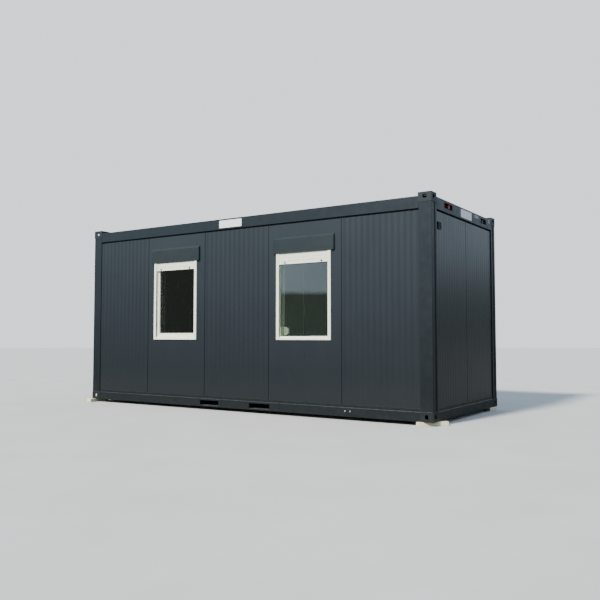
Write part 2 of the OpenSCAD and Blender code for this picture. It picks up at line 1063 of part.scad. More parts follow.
base_rail_front();
base_rail_back();
base_rail_left();
base_rail_right();
fork_pocket_left();
fork_pocket_right();
cross_members();
underfloor_sheet();
floor_deck();
castings_bottom();
castings_top();
post_front_left();
post_front_right();
post_back_left();
post_back_right();
roof_beam_front();
roof_beam_back();
roof_beam_left();
roof_beam_right();
roof_sheet();
ceiling();
wall_panel_front_1();
wall_panel_front_2();
wall_panel_front_3();
wall_panel_front_4();
wall_panel_front_5();
wall_panels_back();
wall_panels_left();
wall_panels_right();
window_frame_left();
window_frame_right();
window_sash();
glass_left();
glass_right();
shutter_guides_left();
shutter_guides_right();
shutter_curtain_left();
shutter_curtain_right();
shutter_box_left();
shutter_box_right();
belt_winder_left();
belt_winder_right();
vent_cap();
power_inlet();
power_outlet();
plate_front();
plate_end();
door_frame();
door_leaf();
door_handles();
timber_packers();
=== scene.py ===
# %% [markdown]
# # A portable site cabin
# The real thing is a 20 ft site cabin: a welded steel frame with eight cast corners, sandwich
# panels between its posts, two white windows with roller shutters, and timber packers below.
# Its CAD model is loaded first and stays fixed. Every piece made here stands in the same metres,
# so it goes where the CAD node's box says, with no fitting.

# %% Load the frame
import functools
import json
import math

import bmesh
import bpy
from mathutils import Matrix, Vector

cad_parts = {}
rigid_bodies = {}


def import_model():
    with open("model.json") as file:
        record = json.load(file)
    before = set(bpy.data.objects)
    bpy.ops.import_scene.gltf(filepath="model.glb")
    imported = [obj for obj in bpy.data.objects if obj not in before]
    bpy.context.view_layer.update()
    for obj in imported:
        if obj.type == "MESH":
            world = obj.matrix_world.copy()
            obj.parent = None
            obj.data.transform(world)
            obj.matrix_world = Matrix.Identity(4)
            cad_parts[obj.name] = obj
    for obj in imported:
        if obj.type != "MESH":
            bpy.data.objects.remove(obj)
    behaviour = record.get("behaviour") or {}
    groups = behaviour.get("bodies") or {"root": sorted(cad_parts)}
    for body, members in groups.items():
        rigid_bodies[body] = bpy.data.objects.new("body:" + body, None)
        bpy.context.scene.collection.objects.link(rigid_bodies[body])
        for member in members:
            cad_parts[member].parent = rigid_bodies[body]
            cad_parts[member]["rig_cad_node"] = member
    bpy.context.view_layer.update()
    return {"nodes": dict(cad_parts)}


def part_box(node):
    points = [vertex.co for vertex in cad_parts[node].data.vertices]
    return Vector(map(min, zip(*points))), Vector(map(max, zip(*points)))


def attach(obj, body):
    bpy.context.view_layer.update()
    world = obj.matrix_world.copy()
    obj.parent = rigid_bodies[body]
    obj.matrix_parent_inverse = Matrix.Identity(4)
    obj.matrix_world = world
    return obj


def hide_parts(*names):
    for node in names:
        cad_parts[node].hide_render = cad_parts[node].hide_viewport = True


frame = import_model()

# %% [markdown]
# Five planes of the cabin come up again and again: the outer planes of the corner castings, the
# two ends of the posts, and the face of the plain front panels. The CAD nodes' boxes give them.

# %% Measure the cabin
half_l, half_w, post_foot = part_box("castings_bottom")[1]
post_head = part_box("castings_top")[0].z
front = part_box("wall_panel_front_3")[0].y
print("half length", half_l, "half width", half_w, "panel face", front)

# %% [markdown]
# ## Helpers
# Blender's operators work on what is selected, and loading leaves the CAD nodes selected. So
# each step starts with nothing selected, and the faces or edges it needs are then picked in
# code by where they are and which way they point, as a hand would pick them with the mouse.

# %% Start clean, open a piece, pick parts of it
def rest():
    """Object mode, with nothing selected."""
    if bpy.context.mode != "OBJECT":
        bpy.ops.object.mode_set(mode="OBJECT")
    bpy.ops.object.select_all(action="DESELECT")


def take(*pieces):
    """These pieces alone are selected, and the first is the active one."""
    rest()
    for piece in pieces:
        piece.select_set(True)
    bpy.context.view_layer.objects.active = pieces[0]


def shape(piece, picked="DESELECT"):
    """Edit mode on one piece, with nothing of it selected, or all of it for SELECT."""
    take(piece)
    bpy.ops.object.mode_set(mode="EDIT")
    bpy.ops.mesh.select_all(action=picked)


def pick(piece, kind, test):
    """Selects the faces or edges whose middle and direction pass the test."""
    bpy.ops.mesh.select_mode(type=kind)
    bpy.ops.mesh.select_all(action="DESELECT")
    mesh = bmesh.from_edit_mesh(piece.data)
    if kind == "FACE":
        for face in mesh.faces:
            face.select_set(bool(test(face.calc_center_median(), face.normal)))
    else:
        for edge in mesh.edges:
            a, b = (v.co for v in edge.verts)
            edge.select_set(bool(test((a + b) / 2, (b - a).normalized())))
    mesh.select_flush_mode()
    bmesh.update_edit_mesh(piece.data)


# %% [markdown]
# Most pieces start as a block or a rod at its real size and place. The scale and place are
# applied at once, so the piece's numbers are in its mesh and its object stays at the origin.

# %% Starting shapes
def settled(name, scale=(1, 1, 1)):
    """The piece just added, named, scaled, and with its scale and place applied."""
    piece = bpy.context.object
    piece.name = piece.data.name = name
    piece.scale = scale
    bpy.ops.object.transform_apply(location=True, rotation=True, scale=True)
    return piece


def block(name, low, high):
    """A box from one corner to the other."""
    rest()
    low, high = Vector(low), Vector(high)
    bpy.ops.mesh.primitive_cube_add(size=1, location=(low + high) / 2)
    return settled(name, high - low)


TURNS = {"x": (0, math.pi / 2, 0), "y": (math.pi / 2, 0, 0), "z": (0, 0, 0)}


def rod(name, middle, radius, length, axis, sides=32):
    """A round bar along one axis."""
    rest()
    bpy.ops.mesh.primitive_cylinder_add(vertices=sides, radius=radius, depth=length,
                                        location=middle, rotation=TURNS[axis])
    return settled(name)


def hoop(name, low, high, width, depth):
    """A flat rectangular ring that faces the front, from low to high, depth deep inwards."""
    rest()
    middle = (Vector(low) + Vector(high)) / 2
    bpy.ops.mesh.primitive_plane_add(size=1, location=middle, rotation=(math.pi / 2, 0, 0))
    piece = settled(name, (high[0] - low[0], high[2] - low[2], 1))
    shape(piece, "SELECT")
    bpy.ops.mesh.inset(thickness=width)
    bpy.ops.mesh.delete(type="ONLY_FACE")
    bpy.ops.mesh.select_all(action="SELECT")
    bpy.ops.mesh.extrude_region_move(TRANSFORM_OT_translate={"value": (0, depth, 0)})
    bpy.ops.mesh.select_all(action="SELECT")
    bpy.ops.mesh.normals_make_consistent(inside=False)
    rest()
    return piece


# %% [markdown]
# Real edges are never perfectly sharp, and it is the thin bright line along a rounded edge that
# tells the eye that something is solid. A Bevel modifier rounds every edge that is sharper than
# an angle, and it is applied straight away. Chosen edges are rounded with the Bevel tool, and
# chosen faces are inset and moved to press a field in or raise a dome.

# %% Finishing moves
def apply(piece, kind, **settings):
    """Adds one modifier and applies it."""
    take(piece)
    modifier = piece.modifiers.new(kind.lower(), kind)
    for name, value in settings.items():
        setattr(modifier, name, value)
    bpy.ops.object.modifier_apply(modifier=modifier.name)


def round_edges(piece, width, steps=2, sharper_than=30):
    apply(piece, "BEVEL", width=width, segments=steps, limit_method="ANGLE",
          angle_limit=math.radians(sharper_than))


def facing(x=0, y=0):
    """A test for faces that point along a direction."""
    return lambda middle, normal: normal.dot((x, y, 0)) > 0.9


def soften(piece, test, width, steps):
    """Bevels the edges that pass the test."""
    shape(piece)
    pick(piece, "EDGE", test)
    bpy.ops.mesh.bevel(offset=width, segments=steps)
    rest()


def press(piece, test, *steps):
    """Insets the faces that pass the test and moves them, once for each (inset, move)."""
    shape(piece)
    pick(piece, "FACE", test)
    for inset, move in steps:
        bpy.ops.mesh.inset(thickness=inset)
        bpy.ops.transform.translate(value=move)
    rest()


def worked_copy(name, node, width, steps=2, sharper_than=30):
    """A copy of a CAD node with its triangles joined into whole faces and its edges rounded."""
    rest()
    piece = bpy.data.objects.new(name, frame["nodes"][node].data.copy())
    piece.data.name = name
    bpy.context.scene.collection.objects.link(piece)
    take(piece)
    bpy.ops.mesh.customdata_custom_splitnormals_clear()
    shape(piece, "SELECT")
    bpy.ops.mesh.remove_doubles(threshold=0.00005)
    bpy.ops.mesh.dissolve_limited(angle_limit=math.radians(0.5))
    rest()
    if width:
        round_edges(piece, width, steps, sharper_than)
    return piece


def copied(piece, name, move=(0, 0, 0), turn=None):
    """A copy with its own mesh, turned about the origin and then moved."""
    other = bpy.data.objects.new(name, piece.data.copy())
    other.data.name = name
    bpy.context.scene.collection.objects.link(other)
    take(other)
    other.matrix_world = Matrix.Translation(move) @ (turn or Matrix.Identity(4))
    bpy.ops.object.transform_apply(location=True, rotation=True, scale=True)
    return other


def joined(name, pieces):
    take(*pieces)
    if len(pieces) > 1:
        bpy.ops.object.join()
    piece = bpy.context.object
    piece.name = piece.data.name = name
    return piece


def hand_over(piece, slot, finish, *stands_for):
    """Smooths the rounded edges, gives the finish, and ties the piece to the cabin's body."""
    take(piece)
    bpy.ops.object.shade_smooth_by_angle(angle=math.radians(35))
    apply(piece, "WEIGHTED_NORMAL", keep_sharp=True)
    piece.data.materials.clear()
    piece.data.materials.append(finish)
    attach(piece, "root")
    if stands_for:
        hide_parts(*stands_for)
    print(f"{piece.name}: {len(piece.data.polygons)} faces")


def dress(node, ending, slot, finish, width, steps=2, sharper_than=30):
    """Hands over a worked copy of a CAD node, which stands for the node."""
    piece = worked_copy(f"{node}_{ending}", node, width, steps, sharper_than)
    hand_over(piece, slot, finish, node)


# %% [markdown]
# ## Finishes
# A finish is a small tree of nodes. One helper adds a node with its settings, sets or links its
# inputs, and gives back the output that the next node reads. Three kinds of node do most of the
# work: Map Range turns one range of numbers into another, Mix blends two colours, and Bump turns
# heights into a slope. Colours are written as they look on a screen, as six hex digits.

# %% Colours and nodes
# What a Mix node needs to blend colours: inputs 0, 6 and 7 are then share, first and second.
COLOURS = {"out": 2, "data_type": "RGBA"}


def screen_colour(text):
    """The linear values a shader needs for a colour as it looks on a screen."""
    parts = [int(text[i:i + 2], 16) / 255 for i in (1, 3, 5)]
    return [p / 12.92 if p <= 0.04045 else ((p + 0.055) / 1.055) ** 2.4 for p in parts] + [1.0]


def feed(node, feeds):
    """Links each input of a node to the output given for it, or sets it to the value given."""
    for name, value in (feeds.items() if isinstance(feeds, dict) else enumerate(feeds)):
        if isinstance(value, bpy.types.NodeSocket):
            node.id_data.links.new(value, node.inputs[name])
        else:
            node.inputs[name].default_value = (screen_colour(value) if isinstance(value, str)
                                               else value)


def add_node(tree, kind, feeds=(), out=0, **settings):
    """Adds one node to a tree and gives back one of its outputs."""
    node = tree.nodes.new("ShaderNode" + kind)
    for name, value in settings.items():
        setattr(node, name, value)
    feed(node, feeds)
    return node.outputs[out]


def new_finish(name):
    """A new material, add_node for its tree, its shader, and Object coordinates in metres."""
    material = bpy.data.materials.new(name)
    material.use_nodes = True
    add = functools.partial(add_node, material.node_tree)
    return material, add, material.node_tree.nodes["Principled BSDF"], add("TexCoord", out="Object")


def grain(add, place, size_mm, detail=3.0, stretch=(1, 1, 1)):
    """A noise pattern whose blotches are size_mm across, stretched along an axis if asked."""
    laid = add("Mapping", {"Vector": place, "Scale": [1000 / size_mm / s for s in stretch]})
    return add("TexNoise", {"Vector": laid, "Scale": 1.0, "Detail": detail, "Roughness": 0.55},
               "Fac")


print("node helpers ready")

# %% [markdown]
# The frame and castings are sprayed with two-pack polyurethane enamel, anthracite and satin.
# Sprayed paint on plate is slightly uneven, and a little dust lies on top faces. The colour is
# painted darker from the eaves down, as painted shade, and splashes reach the lowest part. The
# orange peel is really about 1 mm across and is drawn at 6 mm to show.

# %% Sprayed enamel
def sprayed_enamel(name, paint_and_foot_shade, roughness, peel_mm, peel_depth_mm, wear):
    material, add, shader, place = new_finish(name)
    height = add("SeparateXYZ", (place,), "Z")
    up = add("SeparateXYZ", (add("NewGeometry", out="Normal"),), "Z")
    patches = add("MapRange", (grain(add, place, 700), 0.3, 0.7, 0, 1))
    tone = add("Mix", {0: patches, 6: paint_and_foot_shade[0], 7: paint_and_foot_shade[1]}, **COLOURS)
    # Painted shade: the colour darkens from the eaves down towards the third, darkest colour.
    painted_shade_share = add("MapRange", (height, 0.1, 2.5, 1, 0))
    tone = add("Mix", {0: painted_shade_share, 6: tone, 7: paint_and_foot_shade[2]}, **COLOURS)
    splash = add("MapRange", (height, 0.04, 0.4, wear * 0.4, 0))
    lying = add("MapRange", (up, 0.5, 0.9, 0, wear * 5))
    speck = add("MapRange", (grain(add, place, 45, 6), 0.35, 0.7, 0.3, 1))
    dust = add("Math", (add("Math", (splash, lying), operation="MAXIMUM"), speck),
               operation="MULTIPLY")
    cloud = grain(add, place, 120, 5)
    warp = add("Bump", {"Height": grain(add, place, 380, 1), "Distance": 0.003, "Strength": 0.5})
    feed(shader, {
        "Base Color": add("Mix", {0: dust, 6: tone, 7: "#757c7e"}, **COLOURS),
        "Specular IOR Level": 0.25,
        "Roughness": add("MapRange", (cloud, 0.3, 0.7, roughness - 0.05, roughness + 0.07)),
        "Normal": add("Bump", {"Height": grain(add, place, peel_mm), "Normal": warp,
                               "Distance": peel_depth_mm / 1000, "Strength": 0.5})})
    return material


# The third colour of each enamel is the painted shade at the foot.
frame_enamel = sprayed_enamel("polyurethane_enamel_frame",
                              ("#1f272d", "#232b31", "#15191c"), 0.36, 6, 0.12, 0.14)
casting_enamel = sprayed_enamel("polyurethane_enamel_on_cast_steel",
                                ("#232a2f", "#292f34", "#15191c"), 0.46, 9, 0.9, 0.16)
hood_enamel = sprayed_enamel("powder_coated_aluminium_dark",
                             ("#232c30", "#273034", "#1a2023"), 0.42, 5, 0.10, 0.02)
print("enamels", frame_enamel.name, casting_enamel.name, hood_enamel.name)

# %% [markdown]
# The wall skins are coil-coated steel: paint baked on a strip before it is pressed, so it is
# smoother and glossier than the frame, and a shade bluer. The thin skin is never quite flat,
# which breaks up its reflections, and rain leaves faint upright streaks. The grooves are darkened
# with painted shade, and they are found by how far they lie behind the face. The skin is also
# painted darker from the eaves down, as painted shade. The inner skins of the same panels are
# white, and they too are told apart by how far inside the cabin they lie.

# %% Coil-coated panel skin
LINING_DEPTH = 0.0945
GROOVE_START = 0.0004
panel_x, panel_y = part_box("wall_panels_right")[1].x, -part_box("wall_panel_front_1")[0].y


def coil_coating(name, skin, painted_foot_shade, dirt_and_painted_shade, streak, lining):
    material, add, shader, place = new_finish(name)
    axes = add("SeparateXYZ", (place,)).node.outputs

    def within(*reaches):
        """1 where a point is nearer the middle than both planes, and 0 elsewhere."""
        sizes = [add("Math", (axes[i],), operation="ABSOLUTE") for i in (0, 1)]
        near = [add("Math", pair, operation="LESS_THAN") for pair in zip(sizes, reaches)]
        return add("Math", near, operation="MULTIPLY")

    room = within(half_l - LINING_DEPTH, half_w - LINING_DEPTH)
    # A mask of the grooves, where painted shade is laid.
    painted_groove_mask = within(panel_x - GROOVE_START, panel_y - GROOVE_START)
    patches = add("MapRange", (grain(add, place, 900), 0.3, 0.7, 0, 1))
    tone = add("Mix", {0: patches, 6: skin[0], 7: skin[1]}, **COLOURS)
    rain = grain(add, place, 26, 4, (1, 1, 40))
    # The groove share is painted shade in the grooves, and the next-but-one share is painted shade
    # towards the foot.
    for share, colour in ((add("MapRange", (painted_groove_mask, 0, 1, 0, 0.25)), dirt_and_painted_shade),
                          (add("MapRange", (rain, 0.45, 0.75, 0, 0.06)), streak),
                          (add("MapRange", (axes["Z"], 0.2, 2.5, 1, 0)), painted_foot_shade),
                          (add("MapRange", (axes["Z"], 0.2, 0.6, 0.08, 0)), "#4a4843"),
                          (room, lining)):
        tone = add("Mix", {0: share, 6: tone, 7: colour}, **COLOURS)
    canning = add("Bump", {"Height": grain(add, place, 300, 1, (1, 1, 3.5)),
                           "Distance": 0.0006, "Strength": 0.5})
    cloud = grain(add, place, 160, 5, (1, 1, 3))
    feed(shader, {
        "Base Color": tone,
        "Specular IOR Level": 0.40,
        "Roughness": add("MapRange", (cloud, 0.3, 0.7, 0.27, 0.31)),
        "Normal": add("Bump", {"Height": grain(add, place, 7), "Normal": canning,
                               "Distance": 0.00006, "Strength": 0.4})})
    return material


# The third and fourth colours are painted shade, at the foot and in the grooves.
panel_coating = coil_coating("coil_coated_steel", ("#272e34", "#2b3137"), "#1a1f24", "#0e1114",
                             "#30373d", "#dcdcd6")
print("panel coating", panel_coating.name)

# %% [markdown]
# Window frames are extruded PVC, warm white and half glossy. Shutter slats and guides are
# roll-formed or extruded aluminium with white powder coating, a touch rougher. Both carry
# faint blotches and upright streaks where rain has run down.

# %% White finishes
def white_finish(name, clean, grimy, roughness, peel_depth_mm):
    material, add, shader, place = new_finish(name)
    blotch = add("MapRange", (grain(add, place, 60, 6), 0.42, 0.72, 0, 0.35))
    streak = add("MapRange", (grain(add, place, 14, 4, (1, 1, 14)), 0.5, 0.8, 0, 0.4))
    share = add("Math", (blotch, streak), operation="MAXIMUM")
    cloud = grain(add, place, 90, 4)
    feed(shader, {
        "Base Color": add("Mix", {0: share, 6: clean, 7: grimy}, **COLOURS),
        "Roughness": add("MapRange", (cloud, 0.3, 0.7, roughness - 0.04, roughness + 0.06)),
        "Normal": add("Bump", {"Height": grain(add, place, 5), "Distance": peel_depth_mm / 1000,
                               "Strength": 0.4})})
    return material


window_pvc = white_finish("extruded_pvc_white", "#f8fae8", "#dcd9cd", 0.32, 0.05)
shutter_coating = white_finish("powder_coated_aluminium_white", "#f8fae8", "#dcd9cd", 0.42, 0.08)
winder_abs = white_finish("moulded_abs_white", "#f2f0e6", "#d6d2c5", 0.36, 0.12)
ceiling_board = white_finish("coated_chipboard_white", "#dedfda", "#cfcfc8", 0.5, 0.2)
door_coating = white_finish("powder_coated_steel_white", "#d9dad6", "#bdbcb4", 0.4, 0.1)
plate_coating = white_finish("anodised_aluminium_white", "#f4f7f8", "#dfe3e5", 0.38, 0.04)
tag_foil = white_finish("printed_foil_grey", "#8e979b", "#7f878b", 0.4, 0.04)
print("white finishes made")

# %% [markdown]
# Plastics and rubbers: glazing gaskets are EPDM rubber, quite matt. The vent is dark moulded
# polypropylene with a fine spark-eroded grain, the power inlet is red polyamide, and the outlet
# is dark polyamide. The grain is really 0.3 mm and is drawn at 2 mm.

# %% Moulded finishes
def moulded(name, colour, worn, roughness, grain_mm, depth_mm):
    material, add, shader, place = new_finish(name)
    share = add("MapRange", (grain(add, place, 18, 5), 0.4, 0.75, 0, 0.5))
    cloud = grain(add, place, 30, 4)
    feed(shader, {
        "Base Color": add("Mix", {0: share, 6: colour, 7: worn}, **COLOURS),
        "Roughness": add("MapRange", (cloud, 0.3, 0.7, roughness - 0.05, roughness + 0.08)),
        "Normal": add("Bump", {"Height": grain(add, place, grain_mm),
                               "Distance": depth_mm / 1000, "Strength": 0.5})})
    return material


gasket_rubber = moulded("epdm_rubber", "#17191a", "#232526", 0.62, 3, 0.06)
vent_plastic = moulded("moulded_polypropylene_dark", "#101315", "#171b1d", 0.48, 2, 0.08)
inlet_plastic = moulded("moulded_polyamide_red", "#a3261d", "#8a2a22", 0.38, 2, 0.05)
outlet_plastic = moulded("moulded_polyamide_dark", "#15181a", "#1d2022", 0.42, 2, 0.05)
print("moulded finishes made")

# %% [markdown]
# Bare metals keep the default IOR, because a metal's mirror look comes from its colour. Screws
# and rivets are zinc-plated, the hidden sheet is hot-dip galvanised with its spangle of zinc
# crystals about 12 mm across, and the door handles are satin stainless steel.

# %% Bare metals
def bare_metal(name, colour, dull, roughness, spangle_mm):
    material, add, shader, place = new_finish(name)
    laid = add("Mapping", {"Vector": place, "Scale": [1000 / spangle_mm] * 3})
    crystal = add("TexVoronoi", {"Vector": laid, "Scale": 1.0}, "Color")
    shade = add("SeparateXYZ", (crystal,), "X")
    feed(shader, {
        "Base Color": add("Mix", {0: shade, 6: colour, 7: dull}, **COLOURS),
        "Roughness": add("MapRange", (shade, 0, 1, roughness - 0.06, roughness + 0.08)),
        "Metallic": 1.0,
        "Normal": add("Bump", {"Height": grain(add, place, 40, 4), "Distance": 0.0003,
                               "Strength": 0.3})})
    return material


galvanised = bare_metal("hot_dip_galvanised_sheet", "#a9aeb0", "#93999c", 0.45, 12)
zinc_plate = bare_metal("zinc_plated_fasteners", "#b4b6b4", "#a0a29f", 0.35, 3)
stainless = bare_metal("satin_stainless_steel", "#bdbfc0", "#b2b5b6", 0.30, 2)
print("bare metals made")

# %% [markdown]
# The glazing is two panes of float glass in one unit. Glass lets light through and mirrors more
# of it at a shallow angle, so a Fresnel value mixes a faintly green transparent shader with a
# sharp glossy one. A unit has four surfaces that mirror, so the share is nearly doubled. Real
# float glass is a little wavy, with waves about 300 mm long.

# %% Float glass
def float_glass(name, tint):
    material, add, shader, place = new_finish(name)
    tree = material.node_tree
    tree.nodes.remove(shader)
    wave = add("Bump", {"Height": grain(add, place, 300, 0), "Distance": 0.00025,
                        "Strength": 0.5})
    smear = add("MapRange", (grain(add, place, 80, 5), 0.4, 0.8, 0.01, 0.04))
    through = add("BsdfTransparent", {"Color": tint})
    mirror = add("BsdfGlossy", {"Color": (1, 1, 1, 1), "Roughness": smear, "Normal": wave})
    facing = add("Fresnel", {"IOR": 1.52, "Normal": wave})
    share = add("MapRange", (facing, 0, 1, 0.02, 1.95))
    feed(tree.nodes["Material Output"], {"Surface": add("MixShader", (share, through, mirror))})
    return material


window_glass = float_glass("float_glass", "#e2eae4")
print("glass", window_glass.name)

# %% [markdown]
# Floor vinyl is a grey homogeneous sheet with flecks 4 mm across. The roof is coated steel that
# stands in all weather, so it gets broad water stains and settled dust.

# %% Floor vinyl and roof coating
def flecked_vinyl(name):
    material, add, shader, place = new_finish(name)
    laid = add("Mapping", {"Vector": place, "Scale": [250.0] * 3})
    fleck = add("TexVoronoi", {"Vector": laid, "Scale": 1.0}, "Color")
    shade = add("SeparateXYZ", (fleck,), "Y")
    cloud = grain(add, place, 150, 4)
    feed(shader, {"Base Color": add("Mix", {0: shade, 6: "#63666a", 7: "#7b7e82"}, **COLOURS),
                  "Roughness": add("MapRange", (cloud, 0.3, 0.7, 0.4, 0.55))})
    return material


def weathered_roof(name):
    material, add, shader, place = new_finish(name)
    stain = add("MapRange", (grain(add, place, 420, 7), 0.3, 0.75, 0, 1))
    tone = add("Mix", {0: stain, 6: "#4f565a", 7: "#60635f"}, **COLOURS)
    silt = add("MapRange", (grain(add, place, 30, 6), 0.5, 0.75, 0, 0.2))
    feed(shader, {
        "Base Color": add("Mix", {0: silt, 6: tone, 7: "#8b897f"}, **COLOURS),
        "Roughness": add("MapRange", (stain, 0, 1, 0.42, 0.62)),
        "Normal": add("Bump", {"Height": grain(add, place, 260, 2), "Distance": 0.0025,
                               "Strength": 0.4})})
    return material


floor_vinyl = flecked_vinyl("homogeneous_vinyl")
roof_coating = weathered_roof("weathered_coil_coating")
print("floor and roof finishes made")

# %% [markdown]
# The packers are rough-sawn spruce, pale cream. A board is cut from a round trunk, so the rings
# are stretched into grain along it and show as arcs on its end. The pattern is turned with each
# board, with rings about 5 mm apart.

# %% Sawn spruce
def sawn_spruce(name, middle, turn):
    """Spruce whose trunk runs along a board that is turned so far from the X axis."""
    material, add, shader, place = new_finish(name)
    centred = add("VectorMath", (place, (-middle.x, -middle.y, 0.11)), operation="ADD")
    along = add("Mapping", {"Vector": centred, "Rotation": (0, 0, -turn)})
    stretched = add("Mapping", {"Vector": along, "Scale": (12.0, 200.0, 200.0)})
    rings = add("TexWave", {"Vector": stretched, "Scale": 0.16, "Distortion": 2.2,
                            "Detail": 3.0, "Detail Scale": 0.6}, "Fac",
                wave_type="RINGS", rings_direction="X")
    tone = add("Mix", {0: rings, 6: "#fbf4d9", 7: "#eee0b8"}, **COLOURS)
    fibre = add("MapRange", (grain(add, along, 3, 4, (30, 1, 1)), 0.35, 0.75, 0, 0.5))
    tone = add("Mix", {0: fibre, 6: tone, 7: "#dccba0"}, **COLOURS)
    dirt_and_painted_shade = add("MapRange", (grain(add, place, 60, 5), 0.5, 0.75, 0, 0.4))
    saw = add("Bump", {"Height": grain(add, along, 4, 3, (1, 8, 8)), "Distance": 0.0008,
                       "Strength": 0.6})
    feed(shader, {
        "Base Color": add("Mix", {0: dirt_and_painted_shade, 6: tone, 7: "#b9ae98"}, **COLOURS),
        "Roughness": 0.82,
        "Normal": add("Bump", {"Height": rings, "Normal": saw, "Distance": 0.0005,
                               "Strength": 0.5})})
    return material


print("sawn spruce ready")

# %% [markdown]
# ## The steel frame
# The base rails, posts and roof beams are rolled and folded plate, so their shapes come from the
# CAD nodes as they are. A folded edge has a radius of a few millimetres: each member is copied,
# its triangles are joined into whole faces, and its edges are rounded.

# %% Rails, posts and beams
for side in ("front", "back", "left", "right"):
    dress(f"base_rail_{side}", "folded", "frame_steel", frame_enamel, 0.002)
    dress(f"roof_beam_{side}", "folded", "frame_steel", frame_enamel, 0.004, 3)
for corner in ("front_left", "front_right", "back_left", "back_right"):
    dress(f"post_{corner}", "folded", "frame_steel", frame_enamel, 0.0045, 3)

# %% [markdown]
# The corner castings are poured in a sand mould, so their outer edges and the rims of their
# lifting slots are rounder than the frame's, and their skin is rougher under the paint.

# %% Corner castings
for level in ("bottom", "top"):
    dress(f"castings_{level}", "rounded", "casting_steel", casting_enamel, 0.004, 3)

# %% [markdown]
# Posts are welded to the castings. A weld bead is a row of overlapping drops, each 6 mm on from
# the last. One drop is made as a low ball, and an Array modifier lays a row of them. Each end of
# a post gets one row on each of its two outer faces.

# %% Weld beads
DROP_STEP = 0.006


def bead_row(start, length, along):
    """A row of weld drops from start, along X or Y, under 3 mm proud of the posts."""
    rest()
    bpy.ops.mesh.primitive_ico_sphere_add(subdivisions=1, radius=0.0055, location=start)
    row = settled("row", (1.0, 0.5, 1.0) if along == "x" else (0.5, 1.0, 1.0))
    step = (DROP_STEP, 0, 0) if along == "x" else (0, DROP_STEP, 0)
    apply(row, "ARRAY", count=int(length / DROP_STEP), use_relative_offset=False,
          use_constant_offset=True, constant_offset_displace=step)
    return row


rows = []
for z in (post_foot, post_head):
    for side in (-1, 1):
        start_x = -half_l + 0.008 if side < 0 else half_l - 0.170
        start_y = -half_w + 0.008 if side < 0 else half_w - 0.166
        for face in (-1, 1):
            rows.append(bead_row((start_x, face * (half_w - 0.003), z), 0.16, "x"))
            rows.append(bead_row((face * (half_l - 0.003), start_y, z), 0.15, "y"))
hand_over(joined("weld_beads", rows), "frame_steel", casting_enamel)

# %% [markdown]
# Each fork pocket is a rectangular tube right across the base. Its mouth is welded to the rail,
# and a thin lip stands round the opening, so that a fork can't catch the edge of the plate. The
# lips are flat rings that face the front, and the same rings turned round serve the back.

# %% Fork pockets and their lips
lips = []
for side in ("left", "right"):
    dress(f"fork_pocket_{side}", "tube", "frame_steel", frame_enamel, 0.0015)
    low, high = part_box(f"fork_pocket_{side}")
    lip = hoop("lip", (low.x - 0.004, -half_w + 0.0005, low.z - 0.002),
               (high.x + 0.004, 0, high.z + 0.004), 0.008, 0.006)
    round_edges(lip, 0.0012)
    lips += [lip, copied(lip, "lip_back", (low.x + high.x, 0, 0), Matrix.Rotation(math.pi, 4, "Z"))]
hand_over(joined("fork_pocket_lips", lips), "frame_steel", frame_enamel)

# %% [markdown]
# Under the floor, folded cross members carry the deck, and a galvanised sheet closes the
# insulation from below. They are seen only from underneath.

# %% Floor frame
dress("cross_members", "folded", "joist_steel", frame_enamel, 0.003)
dress("underfloor_sheet", "edged", "galvanised_sheet", galvanised, 0.0005, 1)
dress("floor_deck", "edged", "floor_vinyl", floor_vinyl, 0.001, 1)

# %% [markdown]
# ## Walls
# The panels' outer skins are roll-formed, so the sides of each groove meet the face in a soft
# bend. That bend is shallow enough to be smoothed, and only the panels' own edges are rounded.

# %% Wall panels
for node in ([f"wall_panel_front_{bay}" for bay in range(1, 6)]
             + [f"wall_panels_{side}" for side in ("back", "left", "right")]):
    dress(node, "formed", "panel_coating", panel_coating, 0.002, 2, 20)

# %% [markdown]
# ## Roof
# The roof is strips of steel joined by standing seams. Each seam is folded over at its top into
# a small roll, so a rod is laid along the top edge of every seam. The ceiling board below is
# coated white.

# %% Roof sheet and rolled seams
STRIPS = 10
dress("roof_sheet", "folded", "roof_steel", roof_coating, 0.0015)
roof_low, roof_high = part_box("roof_sheet")
strip = (roof_high.x - roof_low.x) / STRIPS
seam_roll = rod("seam_roll", (roof_low.x + strip, 0, roof_high.z - 0.007), 0.009,
                roof_high.y - roof_low.y - 0.01, "y", 16)
press(seam_roll, lambda middle, normal: abs(normal.y) > 0.9, (0.002, (0, 0, -0.001)))
rolls = [seam_roll] + [copied(seam_roll, f"roll_{i}", (strip * i, 0, 0))
                       for i in range(1, STRIPS - 1)]
hand_over(joined("roof_seam_rolls", rolls), "roof_steel", roof_coating)
dress("ceiling", "edged", "ceiling_white", ceiling_board, 0.001, 1)

# %% [markdown]
# ## Windows
# Both windows have the same parts at two places, so one loop makes them from the boxes of the
# left and the right CAD nodes. The PVC frame and the sash are extrusions with small rounded
# arrises, and so are the shutter's guide rails. Only the left window has an opening sash.

# %% Frames, guides and sash
for side in ("left", "right"):
    dress(f"window_frame_{side}", "profile", "window_pvc", window_pvc, 0.0025, 3)
    dress(f"shutter_guides_{side}", "profile", "shutter_white", shutter_coating, 0.0022, 3)
dress("window_sash", "profile", "window_pvc", window_pvc, 0.003, 3)
sash_low, sash_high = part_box("window_sash")
print("sash", sash_low, sash_high)

# %% [markdown]
# The glass is held by a bead that slopes in towards it, and a black rubber gasket fills the last
# few millimetres. On the real window these give the pane its dark outline. Each is a flat ring
# made with inset and extrude, and the bead's inner front edge is then cut back by a bevel.

